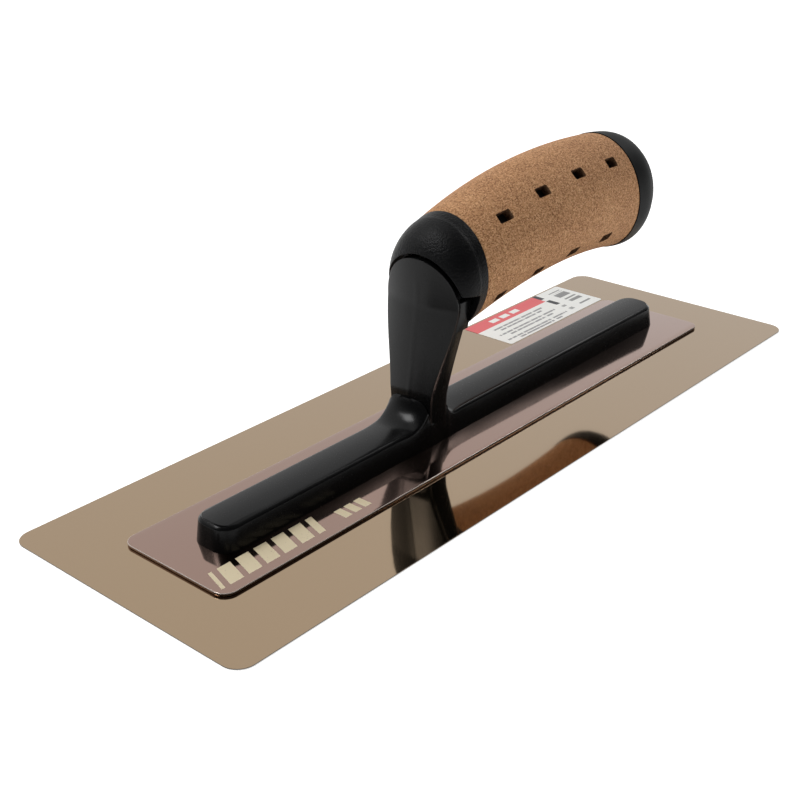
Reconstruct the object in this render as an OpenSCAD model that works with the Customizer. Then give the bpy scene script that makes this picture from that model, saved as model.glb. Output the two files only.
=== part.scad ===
// Steel finishing trowel: a thin flexible blade bonded to a backing plate, a moulded
// handle mount screwed to the plate, and a cork grip held on the mount's tang.
// Origin: centre of the blade's working face. +X runs from the toe to the heel, +Z is up.

/* [Blade] */
// Length of the blade
blade_l = 305; // [270:1:500]
// Width of the blade
blade_w = 101.6; // [80:0.2:140]
// Thickness of the blade
blade_t = 0.3; // [0.3:0.1:1]
// Corner radius of the blade
blade_r = 6; // [2:0.5:12]

/* [Backing plate] */
// Length of the backing plate
plate_l = 263.5; // [255:0.5:480]
// Width of the backing plate
plate_w = 46.5; // [30:0.5:70]
// Thickness of the backing plate
plate_t = 1; // [1:0.1:2]
// Corner radius of the backing plate
plate_r = 6.5; // [2:0.5:12]
// Thickness of the bonding tape under the plate
tape_t = 0.1; // [0.1:0.05:0.5]
// Margin between the tape and the edge of the plate
tape_margin = 0.8; // [0.5:0.1:3]

/* [Beam] */
// Length of the beam on top of the plate
beam_l = 239.5; // [236:0.5:250]
// Height of the beam above the plate
beam_h = 8.6; // [7.6:0.2:12]
// Width of the beam across its base
beam_base_w = 17; // [16:0.2:22]
// Width of the beam across its top shoulder
beam_top_w = 15; // [13:0.2:16]
// Bevel along the top edge of the beam
beam_bevel = 0.9; // [0.4:0.1:1.5]
// Radius of the beam's ends in plan
beam_end_r = 6; // [3:0.5:7]

/* [Post] */
// Distance from the middle of the blade to the front foot of the post
post_x = 26; // [20:0.5:40]
// Front-to-back thickness of the post
post_t = 10.5; // [8.5:0.5:12]
// Width of the post at its waist
waist_w = 17.6; // [15:0.2:20]
// Height of the waist above the blade's working face
waist_z = 20; // [16:0.5:24]
// Width of the paddle at the top of the post
paddle_w = 30.6; // [27:0.2:31]
// Height of the middle of the paddle's round top
paddle_z = 50.8; // [49:0.2:52]
// Lean of the post towards the heel
post_lean = 6.5; // [4:0.5:8]
// Thickness of the paddle's rim in front of the neck
rim_t = 4; // [3:0.2:5]
// Step from the edge of the paddle in to the neck behind it
neck_step = 2.4; // [1.5:0.1:3.5]
// Blend radius between the beam and the front of the post
toe_blend_r = 13; // [8:0.5:16]
// Blend radius between the beam and the back of the post
heel_blend_r = 7; // [4:0.5:9]

/* [Grip] */
// Distance from the middle of the blade to the front end of the cork
grip_x = -7.3; // [-9:0.1:-5]
// Length of the cork sleeve
grip_l = 90.3; // [80:0.1:110]
// Height of the grip's middle at the front end of the cork
grip_z = 58.8; // [57:0.1:61]
// Rise of the grip's middle from the front to the back end
grip_rise = 6.5; // [0:0.1:10]
// Arch of the grip's middle above the straight line between its ends
grip_arch = 4.65; // [0:0.05:7]
// Height of the cork at its front end
front_h = 39.6; // [38:0.1:42]
// Width of the cork at its front end
front_w = 36.4; // [36:0.1:40]
// Height of the cork at its back end
back_h = 44.8; // [38:0.1:46]
// Width of the cork at its back end
back_w = 38.2; // [36:0.1:42]
// Extra height half-way along the cork
mid_swell_h = -1.2; // [-3:0.1:3]
// Extra width half-way along the cork
mid_swell_w = 3.8; // [0:0.1:5]
// Lean of the cork's back end
back_tilt = 5; // [0:0.5:8]
// Wall of the cork sleeve
cork_t = 3.2; // [2.4:0.1:4.5]

/* [Vent slots] */
// Number of slots in each row
slot_count = 4; // [2:1:5]
// Length of a slot
slot_l = 6; // [3:0.1:8]
// Width of a slot
slot_w = 3; // [1.5:0.1:4]
// Distance from the front end of the cork to the first upper slot
slot_start = 14.2; // [10:0.1:20]
// Shift of the lower rows towards the collar
slot_shift = 4; // [0:0.1:6]
// Spacing of the slots
slot_pitch = 20.8; // [14:0.1:22]
// Angle of the upper rows above the grip's side
slot_high = 46; // [30:1:60]
// Angle of the lower rows below the grip's side
slot_low = 37; // [30:1:60]

/* [Collar and cap] */
// Depth of the collar's dome in front of the cork
collar_depth = 15.5; // [15:0.1:18]
// Wall of the collar
collar_t = 2.4; // [1.8:0.1:3]
// Distance from the cork to the front edge of the collar's lower part
collar_skirt = 4; // [3:0.1:6]
// Height of the collar's notch beside the paddle
notch_z = 54.6; // [52:0.2:56]
// Gap around the paddle in the collar's mouth
mouth_gap = 1.2; // [0.6:0.1:2]
// Depth of the end cap
cap_depth = 17; // [14:0.1:20]
// Step of the end cap above the cork
cap_step = 0.25; // [0:0.05:0.5]
// Height of the raised disc on the end cap
cap_disc_t = 0.8; // [0.6:0.1:2.5]
// Wall of the end cap
cap_t = 3; // [2.4:0.1:4]

/* [Core and fasteners] */
// Diameter of the mount's tang
tang_d = 16; // [14:0.2:18]
// Length of the tang past the front end of the cork
tang_l = 46; // [36:0.5:50]
// Wall of the grip core's outer shell
core_t = 2.5; // [2:0.1:3.5]
// Wall of the core's middle tube
tube_t = 2.2; // [1.8:0.1:2.6]
// Diameter of the grip screw
grip_screw_d = 6; // [5:0.5:7]
// Diameter of the grip screw's head
grip_head_d = 10; // [9:0.5:11]
// Height of the grip screw's head
grip_head_h = 4; // [3:0.5:5]
// Diameter of the grip screw's washer
washer_d = 14; // [12:0.5:16]
// Thickness of the grip screw's washer
washer_t = 1.2; // [0.8:0.1:1.6]
// Diameter of the plate screws
plate_screw_d = 4; // [3:0.5:4.5]
// Length of the plate screws with their heads
plate_screw_l = 7; // [6:0.5:8]
// Number of plate screws
plate_screw_count = 6; // [4:1:8]
// Distance between the outer plate screws
plate_screw_span = 210; // [180:1:220]

/* [Label] */
// Length of the label
label_l = 66; // [30:0.5:70]
// Distance from the heel end of the blade to the label
label_end = 20.5; // [5:0.5:60]
// Distance from the far edge of the blade to the label
label_margin = 1; // [1:0.5:6]
// Gap between the label and the backing plate
label_gap = 2; // [1:0.5:6]

/* [Hidden] */
$fn = 64;

fit = 0.05;
through = 1;
label_t = 0.1;
plate_x = -0.6;
beam_x = 1.3;
plate_z = blade_t + tape_t;
beam_z = plate_z + plate_t;
beam_top = beam_z + beam_h;

// Grip: one ellipse for every place s from 0 at the collar to 1 at the end cap.
sides = 40;
rings = 12;
function mid_arch(s) = 4 * s * (1 - s);
function grip_mid(s) = grip_z + grip_rise * s + grip_arch * mid_arch(s);
function half_h(s) = (front_h + (back_h - front_h) * s + mid_swell_h * mid_arch(s)) / 2;
function half_w(s) = (front_w + (back_w - front_w) * s + mid_swell_w * mid_arch(s)) / 2;
function ring(x, z, h, w, tilt) = [for (i = [0 : sides - 1])
    let (a = 360 * i / sides, up = h * sin(a))
    [x - up * tan(tilt), w * cos(a), z + up]];
function grip_ring(s, inset) =
    ring(grip_x + grip_l * s, grip_mid(s), half_h(s) - inset, half_w(s) - inset, back_tilt * s);

// A closed skin over rings of points; loop_back joins the last ring to the first.
function quad_strip(a, b) = [for (i = [0 : sides - 1])
    let (j = (i + 1) % sides)
    each [[a * sides + i, b * sides + i, a * sides + j],
        [a * sides + j, b * sides + i, b * sides + j]]];
module skin(all_rings, loop_back = false) {
    last = len(all_rings) - 1;
    strips = [for (k = [0 : last - 1]) each quad_strip(k, k + 1)];
    lids = [[for (i = [0 : sides - 1]) i], [for (i = [0 : sides - 1]) last * sides + sides - 1 - i]];
    polyhedron(
        points = [for (r = all_rings) each r],
        faces = loop_back ? concat(strips, quad_strip(last, 0)) : concat(strips, lids)
    );
}

// Fasteners and the tang share one axis through the middles of the cork's two ends.
tang_angle = atan(grip_rise / grip_l);
tang_root = post_lean - post_x + (rim_t + post_t) / 2 - grip_x;
web_t = 4;
web_gap = 1;
seat_d = tang_l + web_gap + web_t;
insert_wall = 1.5;
tang_insert_l = 14;
screw_tip_gap = 1;
washer_play = 0.4;
core_bore_play = 0.6;
access_d = washer_d + 1;
module on_tang(d) {
    translate([grip_x, 0, grip_z])
        rotate([0, 90 - tang_angle, 0])
            translate([0, 0, d])
                children();
}

screw_head_d = plate_screw_d + 2 * plate_t;
beam_insert_wall = 1.1;
beam_insert_d = plate_screw_d + 2 * beam_insert_wall;
beam_insert_l = plate_screw_l - plate_t - 0.5;
beam_bore_l = plate_screw_l - plate_t + 0.3;
module at_plate_screws() {
    for (i = [0 : plate_screw_count - 1])
        translate([beam_x + plate_screw_span * (i / (plate_screw_count - 1) - 0.5), 0, 0])
            children();
}

module rounded_plate(l, w, r, t) {
    linear_extrude(t)
        union() {
            square([l - 2 * r, w], center = true);
            square([l, w - 2 * r], center = true);
            for (sx = [-1, 1], sy = [-1, 1])
                translate([sx * (l / 2 - r), sy * (w / 2 - r)])
                    circle(r);
        }
}

module blade() {
    color([0.66, 0.58, 0.48])
        rounded_plate(blade_l, blade_w, blade_r, blade_t);
}

module bond_tape() {
    color([0.85, 0.85, 0.82])
        translate([plate_x, 0, blade_t])
            rounded_plate(plate_l - 2 * tape_margin, plate_w - 2 * tape_margin,
                plate_r - tape_margin, tape_t);
}

module backing_plate() {
    color([0.62, 0.51, 0.46])
        difference() {
            translate([plate_x, 0, plate_z])
                rounded_plate(plate_l, plate_w, plate_r, plate_t);
            at_plate_screws()
                translate([0, 0, plate_z])
                    cylinder(h = plate_t, d1 = screw_head_d, d2 = plate_screw_d);
            at_plate_screws()
                translate([0, 0, plate_z - through])
                    cylinder(h = plate_t + 2 * through, d = plate_screw_d);
        }
}

module plate_screws() {
    color("silver")
        at_plate_screws()
            translate([0, 0, plate_z])
                union() {
                    cylinder(h = plate_t, d1 = screw_head_d, d2 = plate_screw_d);
                    cylinder(h = plate_screw_l, d = plate_screw_d);
                }
}

module beam_inserts() {
    color("goldenrod")
        at_plate_screws()
            translate([0, 0, beam_z])
                difference() {
                    cylinder(h = beam_insert_l, d = beam_insert_d);
                    translate([0, 0, -through])
                        cylinder(h = beam_insert_l + 2 * through, d = plate_screw_d + 2 * fit);
                }
}

// Front view of the post: a waist that widens along two tangents to a round top.
module post_outline(waist, round_r) {
    reach = norm([waist, paddle_z - waist_z]);
    touch = atan2(waist_z - paddle_z, waist) + acos(round_r / reach);
    side = [round_r * cos(touch), paddle_z + round_r * sin(touch)];
    polygon([[-waist, beam_z], [waist, beam_z], [waist, waist_z], side,
        [-side[0], side[1]], [-waist, waist_z]]);
    translate([0, paddle_z])
        circle(round_r);
}

// Side view of the post between two distances behind its front face.
module post_side(from, to) {
    top = paddle_z + paddle_w;
    linear_extrude(2 * paddle_w, center = true)
        polygon([[from - post_x, beam_z], [to - post_x, beam_z], [to - post_x, waist_z],
            [to - post_x + post_lean, paddle_z], [to - post_x + post_lean, top],
            [from - post_x + post_lean, top], [from - post_x + post_lean, paddle_z],
            [from - post_x, waist_z]]);
}

module post_slice(from, to, waist, round_r) {
    intersection() {
        rotate([90, 0, 0])
            post_side(from, to);
        translate([-2 * post_x, 0, 0])
            rotate([90, 0, 90])
                linear_extrude(3 * post_x)
                    post_outline(waist, round_r);
    }
}

module blend(r, w) {
    rotate([90, 0, 0])
        linear_extrude(w, center = true)
            difference() {
                translate([-through, -through])
                    square(r + through);
                translate([r, r])
                    circle(r);
            }
}

module beam() {
    half = beam_base_w / 2;
    shoulder = beam_top_w / 2;
    intersection() {
        translate([beam_x - beam_l / 2, 0, 0])
            rotate([90, 0, 90])
                linear_extrude(beam_l)
                    polygon([[-half, beam_z], [half, beam_z],
                        [shoulder, beam_top - beam_bevel], [shoulder - beam_bevel, beam_top],
                        [beam_bevel - shoulder, beam_top], [-shoulder, beam_top - beam_bevel]]);
        translate([beam_x, 0, beam_z])
            rounded_plate(beam_l, beam_base_w, beam_end_r, beam_h);
    }
}

module handle_mount() {
    waist = waist_w / 2;
    waist_step = 0.6;
    blend_w = beam_top_w - 2 * beam_bevel;
    color([0.12, 0.12, 0.13])
        difference() {
            union() {
                beam();
                post_slice(0, rim_t, waist, paddle_w / 2);
                post_slice(rim_t / 2, post_t, waist - waist_step, paddle_w / 2 - neck_step);
                translate([-post_x, 0, beam_top])
                    mirror([1, 0, 0])
                        blend(toe_blend_r, blend_w);
                translate([post_t - post_x, 0, beam_top])
                    blend(heel_blend_r, blend_w);
                on_tang(tang_root)
                    cylinder(h = tang_l - tang_root, d = tang_d);
            }
            at_plate_screws()
                translate([0, 0, beam_z - through])
                    cylinder(h = beam_insert_l + through, d = beam_insert_d);
            at_plate_screws()
                translate([0, 0, beam_z])
                    cylinder(h = beam_bore_l, d = plate_screw_d);
            on_tang(tang_l - tang_insert_l)
                cylinder(h = tang_insert_l + through, d = grip_screw_d + 2 * insert_wall);
        }
}

// Dome of the collar or the cap: rings that shrink away from the cork.
dome_rings = 12;
dome_end = 82;
front_slope = (grip_rise + 4 * grip_arch) / grip_l;
back_slope = (grip_rise - 4 * grip_arch) / grip_l;
function bulge(a, squareness) = pow(a, 2 / squareness);
collar_square = 3;
collar_inner_end = 70;
function collar_ring(a, inset) =
    let (reach = (collar_depth - inset) * bulge(sin(a), collar_square), k = bulge(cos(a), collar_square))
    ring(grip_x - reach, grip_z - front_slope * reach, half_h(0) * k - inset, half_w(0) * k - inset, 0);
module front_collar() {
    waist = waist_w / 2;
    rim_back = post_lean - post_x + rim_t + mouth_gap / 2;
    neck_gap = 0.4;
    color([0.16, 0.16, 0.17])
        difference() {
            skin([for (k = [dome_rings : -1 : 0]) collar_ring(dome_end * k / dome_rings, 0)]);
            translate([fit, 0, 0])
                skin([for (k = [dome_rings : -1 : 0])
                    collar_ring(collar_inner_end * k / dome_rings, collar_t)]);
            translate([-3 * post_x + rim_back, 0, 0])
                rotate([90, 0, 90])
                    linear_extrude(3 * post_x)
                        post_outline(waist + mouth_gap, paddle_w / 2 + mouth_gap);
            post_slice(0, post_t + neck_gap, waist, paddle_w / 2 - neck_step + neck_gap);
            translate([grip_x - collar_skirt - paddle_w, -paddle_w, notch_z - 2 * paddle_w])
                cube([paddle_w, 2 * paddle_w, 2 * paddle_w]);
        }
}

module grip_core() {
    core = cork_t + fit;
    inner = core + core_t;
    pocket_start = 0.06;
    pocket_end = 1.02;
    pocket_steps = 8;
    rib_l = 1.25 * grip_l;
    color([0.1, 0.1, 0.1])
        difference() {
            skin([for (k = [0 : rings]) grip_ring(k / rings, core)]);
            difference() {
                skin([for (k = [0 : pocket_steps])
                    grip_ring(pocket_start + (pocket_end - pocket_start) * k / pocket_steps, inner)]);
                on_tang(-through)
                    cylinder(h = rib_l, d = tang_d + 2 * tube_t);
                for (a = [45, 135])
                    on_tang(-through)
                        rotate([0, 0, a])
                            translate([-back_h, -tube_t / 2, 0])
                                cube([2 * back_h, tube_t, rib_l]);
            }
            on_tang(-2 * through)
                cylinder(h = tang_l + web_gap + 2 * through, d = tang_d + 2 * fit);
            on_tang(tang_l)
                cylinder(h = grip_l, d = grip_screw_d + core_bore_play);
            on_tang(seat_d)
                cylinder(h = grip_l, d = access_d);
        }
}

module slot_cut(s, angle) {
    translate([grip_x + grip_l * s, 0, grip_mid(s)])
        rotate([angle, 0, 0])
            translate([-slot_l / 2, half_w(s) / 2, -slot_w / 2])
                cube([slot_l, back_h, slot_w]);
}

module cork_sleeve() {
    color([0.65, 0.45, 0.3])
        difference() {
            skin(concat([for (k = [0 : rings]) grip_ring(k / rings, 0)],
                [for (k = [rings : -1 : 0]) grip_ring(k / rings, cork_t)]), true);
            for (i = [0 : slot_count - 1], side = [0, 1])
                mirror([0, side, 0]) {
                    slot_cut((slot_start + slot_pitch * i) / grip_l, slot_high);
                    slot_cut((slot_start - slot_shift + slot_pitch * i) / grip_l, -slot_low);
                }
        }
}

module tang_insert() {
    color("goldenrod")
        on_tang(tang_l - tang_insert_l)
            difference() {
                cylinder(h = tang_insert_l, d = grip_screw_d + 2 * insert_wall);
                translate([0, 0, -through])
                    cylinder(h = tang_insert_l + 2 * through, d = grip_screw_d + 2 * fit);
            }
}

module screw_washer() {
    color("silver")
        on_tang(seat_d)
            difference() {
                cylinder(h = washer_t, d = washer_d);
                translate([0, 0, -through])
                    cylinder(h = washer_t + 2 * through, d = grip_screw_d + washer_play);
            }
}

module grip_screw() {
    key = grip_screw_d * 0.8;
    shank_l = seat_d + washer_t - tang_l + tang_insert_l - screw_tip_gap;
    color("dimgray")
        on_tang(seat_d + washer_t)
            difference() {
                union() {
                    cylinder(h = grip_head_h, d = grip_head_d);
                    translate([0, 0, -shank_l])
                        cylinder(h = shank_l + through, d = grip_screw_d);
                }
                translate([0, 0, grip_head_h / 2])
                    cylinder(h = grip_head_h, d = key, $fn = 6);
            }
}

cap_square = 3.5;
cap_rings = 9;
cap_end = 66;
disc_angles = [68, 71, 82, 87];
cap_inner_end = 70;
cap_lean = 9;
cap_x = grip_x + grip_l;
function cap_ring(a, inset, extra = 0) =
    let (u = bulge(sin(a), cap_square), k = bulge(cos(a), cap_square),
        reach = (cap_depth - inset) * u + extra)
    ring(cap_x + reach, grip_mid(1) + back_slope * reach, (half_h(1) + cap_step) * k - inset,
        (half_w(1) + cap_step) * k - inset, back_tilt - cap_lean * u);

module end_cap() {
    plug_l = 6;
    plug_reach = plug_l + 0.8 * cap_depth;
    color([0.13, 0.13, 0.14])
        union() {
            difference() {
                skin(concat([for (k = [0 : cap_rings]) cap_ring(cap_end * k / cap_rings, 0)],
                    [for (a = disc_angles) cap_ring(a, 0, cap_disc_t)]));
                skin([for (k = [0 : cap_rings]) cap_ring(cap_inner_end * k / cap_rings, cap_t, -fit)]);
            }
            on_tang(grip_l - plug_l)
                cylinder(h = plug_reach, d = access_d - 2 * fit);
        }
}

module blade_label() {
    corner_r = 1;
    outer = blade_w / 2 - label_margin;
    inner = plate_w / 2 + label_gap;
    color("white")
        translate([blade_l / 2 - label_end - label_l / 2, (outer + inner) / 2, blade_t])
            rounded_plate(label_l, outer - inner, corner_r, label_t);
}

blade();
bond_tape();
backing_plate();
plate_screws();
beam_inserts();
handle_mount();
front_collar();
grip_core();
cork_sleeve();
tang_insert();
grip_screw();
screw_washer();
end_cap();
blade_label();
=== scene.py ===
import math
import bpy
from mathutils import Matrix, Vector


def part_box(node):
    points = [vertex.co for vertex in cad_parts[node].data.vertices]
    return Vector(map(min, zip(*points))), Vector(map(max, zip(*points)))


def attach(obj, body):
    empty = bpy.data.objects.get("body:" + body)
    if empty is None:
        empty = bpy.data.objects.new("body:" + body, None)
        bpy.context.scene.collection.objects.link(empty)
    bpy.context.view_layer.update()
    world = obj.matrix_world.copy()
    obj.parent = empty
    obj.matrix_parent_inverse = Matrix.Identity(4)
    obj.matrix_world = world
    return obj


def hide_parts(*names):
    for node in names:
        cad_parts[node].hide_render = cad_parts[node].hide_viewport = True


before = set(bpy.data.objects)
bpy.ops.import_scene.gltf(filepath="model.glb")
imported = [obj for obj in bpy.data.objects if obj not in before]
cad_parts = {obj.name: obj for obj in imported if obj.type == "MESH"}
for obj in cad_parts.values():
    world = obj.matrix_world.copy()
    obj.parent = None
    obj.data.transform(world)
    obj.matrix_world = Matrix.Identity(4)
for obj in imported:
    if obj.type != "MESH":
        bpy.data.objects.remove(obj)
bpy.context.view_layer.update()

mm = 0.001
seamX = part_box("front_collar")[1].x / mm  # where the collar meets the cork


# selecting, naming and finishing


def useOnly(piece):
    bpy.ops.object.select_all(action="DESELECT")
    piece.select_set(True)
    bpy.context.view_layer.objects.active = piece


def deselectAll():
    bpy.ops.object.select_all(action="DESELECT")


def editMode():
    bpy.ops.object.mode_set(mode="EDIT")


def objectMode():
    bpy.ops.object.mode_set(mode="OBJECT")


def nameActive(name):
    piece = bpy.context.object
    piece.name = name
    piece.data.name = name
    bpy.ops.object.transform_apply(location=True, rotation=True, scale=True)
    return piece


def pick(piece, kind, test):
    # leaves the piece in edit mode with only what passes the test selected
    useOnly(piece)
    editMode()
    bpy.ops.mesh.select_mode(type=kind)
    bpy.ops.mesh.select_all(action="DESELECT")
    objectMode()
    parts = {"VERT": piece.data.vertices, "EDGE": piece.data.edges, "FACE": piece.data.polygons}
    for part in parts[kind]:
        part.select = test(part)
    editMode()


def endsOf(piece, edge):
    return [piece.data.vertices[i].co for i in edge.vertices]


def isUpright(piece, edge):
    first, last = endsOf(piece, edge)
    return abs(first.z - last.z) > 0.9 * (first - last).length


def finishWith(piece, kind, **settings):
    useOnly(piece)
    modifier = piece.modifiers.new(kind.lower(), kind)
    for name, value in settings.items():
        setattr(modifier, name, value)
    bpy.ops.object.modifier_apply(modifier=modifier.name)


def unite(piece, other):
    finishWith(piece, "BOOLEAN", object=other, operation="UNION", solver="EXACT")
    bpy.data.objects.remove(other)


def carve(piece, tool):
    finishWith(piece, "BOOLEAN", object=tool, operation="DIFFERENCE", solver="EXACT")
    bpy.data.objects.remove(tool)


def joinAll(first, others):
    useOnly(first)
    for other in others:
        other.select_set(True)
    bpy.ops.object.join()
    return first


def tidyMesh(piece, gap=0.002 * mm):
    useOnly(piece)
    editMode()
    bpy.ops.mesh.select_all(action="SELECT")
    bpy.ops.mesh.remove_doubles(threshold=gap)
    bpy.ops.mesh.normals_make_consistent(inside=False)
    objectMode()


def shadeByAngle(piece, degrees):
    useOnly(piece)
    bpy.ops.object.shade_smooth_by_angle(angle=math.radians(degrees))


def standIn(piece, slotName, *nodes):
    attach(piece, "root")
    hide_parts(*nodes)


def ease(value, low, high):
    # 0 below low, 1 above high and soft in between
    t = min(1, max(0, (value - low) / (high - low)))
    return t * t * (3 - 2 * t)


def growTube(sections, sides):
    # rings along X, each (x, z, half width, half height, lean in degrees), all in mm
    x, z, wide, high, lean = sections[0]
    deselectAll()
    bpy.ops.mesh.primitive_circle_add(
        vertices=sides, radius=mm, location=(x * mm, 0, z * mm), rotation=(0, math.pi / 2, 0))
    bpy.ops.object.transform_apply(location=True, rotation=True, scale=True)
    editMode()
    bpy.ops.mesh.select_all(action="SELECT")
    middle = (x * mm, 0, z * mm)
    bpy.ops.transform.resize(value=(1, wide, high / math.cos(math.radians(lean))), center_override=middle)
    bpy.ops.transform.rotate(value=math.radians(lean), orient_axis="Y", center_override=middle)
    for nextX, nextZ, nextWide, nextHigh, nextLean in sections[1:]:
        step = ((nextX - x) * mm, 0, (nextZ - z) * mm)
        bpy.ops.mesh.extrude_region_move(TRANSFORM_OT_translate={"value": step})
        middle = (nextX * mm, 0, nextZ * mm)
        lift = math.cos(math.radians(lean)) / math.cos(math.radians(nextLean))
        scale = (1, nextWide / wide, nextHigh / high * lift)
        bpy.ops.transform.rotate(value=math.radians(-lean), orient_axis="Y", center_override=middle)
        bpy.ops.transform.resize(value=scale, center_override=middle)
        bpy.ops.transform.rotate(value=math.radians(nextLean), orient_axis="Y", center_override=middle)
        x, z, wide, high, lean = nextX, nextZ, nextWide, nextHigh, nextLean
    objectMode()


# backing plate: a flat strip with soft edges

backingPlate = {"cornerRadius": 4.8, "edgeRound": 0.28}


def makeBackingPlate():
    low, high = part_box("backing_plate")
    deselectAll()
    bpy.ops.mesh.primitive_cube_add(size=1, location=(low + high) / 2, scale=high - low)
    piece = nameActive("backingPlate")
    pick(piece, "EDGE", lambda edge: isUpright(piece, edge))
    bpy.ops.mesh.bevel(offset=backingPlate["cornerRadius"] * mm, segments=14, affect="EDGES")
    objectMode()
    finishWith(
        piece, "BEVEL", width=backingPlate["edgeRound"] * mm, segments=4,
        limit_method="ANGLE", angle_limit=math.radians(60))
    shadeByAngle(piece, 40)
    standIn(piece, "plate_steel", "backing_plate")
    return piece


# handle mount: beam with its foot, neck, paddle, lugs and tang in one moulding

beamShape = {
    "baseWidth": 17.0,
    "shoulderWidth": 15.2,
    "cornerRadius": 6.0,
    "bevel": 0.9,
    "edgeRound": 0.22,
    "top": 9.7,
    "crown": 0.55,
    "endDraft": 0.7,
    "stations": (-6, -2, 2, 30, 60, 90, -60, -80, -100),
    "lanes": (-5.6, -4.2, -2.6, -1.2, 0, 1.2, 2.6, 4.2, 5.6),
}
footShape = {
    "toeStart": -37.5,
    "toeRadius": 10.0,
    "ledge": -27.75,
    "heelEnd": -10.9,
    "heelRadius": 5.0,
    "heelLedge": -15.8,
    "faceRadius": 39.0,
    "sideSweep": 1.9,
    "sweepHalf": 6.7,
    "split": -22.0,
    "fall": (0.8, 3.0),
    "swellRun": 15.0,
    "heelSwellShare": 0.8,
    "swellLoss": 0.4,
    "swellTurn": (-24, -18),
    "swellBase": 0.045,
    "swellShoulder": 0.165,
    "swellTop": 0.285,
    "approach": (9, 6, 3),
    "under": (0.9, 3.0),
    "waist": -20,
    "toeSteps": 14,
    "heelSteps": 10,
}
postShape = {
    "front": -26.9,
    "frontHigh": -22.5,
    "waist": 20.0,
    "waistHalf": 8.7,
    "flareStart": 14.0,
    "roundTop": 50.8,
    "roundHalf": 15.4,
    "bottom": 6.0,
    "rim": 2.3,
    "rearLow": -15.9,
    "rearHigh": -9.0,
    "stepLow": 0.15,
    "stepHigh": 2.4,
    "ridge": 0.1,
    "ridgeFade": (56, 62),
    "columns": 30,
    "rows": 64,
    "upperStart": 0.28,
    "rimRound": 0.5,
    "neckCorner": 1.6,
    "neckStep": 2,
    "neckLevels": 19,
    "stepRun": (-4, 26),
    "rearStart": 18.0,
    "rimHold": 0.6,
    "neckTop": (46.5, 49, 51.5, 54, 56.5, 58.5, 60.2, 61.5, 62.4, 63.0, 63.4, 63.6),
}


def footRise(x, y):
    # height of the foot's two fillets above the beam's top, in mm
    toe = footShape["toeRadius"]
    heel = footShape["heelRadius"]
    back = footShape["sideSweep"] * abs(y / footShape["sweepHalf"]) ** 3
    fromToe = x - back - footShape["toeStart"]
    fromHeel = footShape["heelEnd"] - x
    if fromToe <= 0 or fromHeel <= 0:
        return 0
    toeEnd = footShape["ledge"] - footShape["toeStart"]
    heelRun = footShape["heelEnd"] - footShape["heelLedge"]
    toeRise = toe - math.sqrt(toe * toe - min(fromToe, toeEnd) ** 2)
    heelRise = heel - math.sqrt(heel * heel - min(fromHeel, heelRun) ** 2)
    near, far = footShape["fall"]
    toeRise *= 1 - ease(x, footShape["ledge"] + near, footShape["ledge"] + far)
    heelRise *= 1 - ease(fromHeel, heelRun + near, heelRun + far)
    return toeRise if x < footShape["split"] else heelRise


def beamSwell(x):
    # 0 along the beam, 1 in front of the post and a little less behind it
    run = footShape["swellRun"]
    toeSide = ease(x, footShape["ledge"] - run, footShape["ledge"] + 1)
    heelRun = footShape["heelSwellShare"] * run
    heelSide = 1 - ease(x, footShape["heelLedge"] - 1, footShape["heelLedge"] + heelRun)
    behind = 1 - footShape["swellLoss"] * ease(x, *footShape["swellTurn"])
    return toeSide * heelSide * behind


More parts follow.
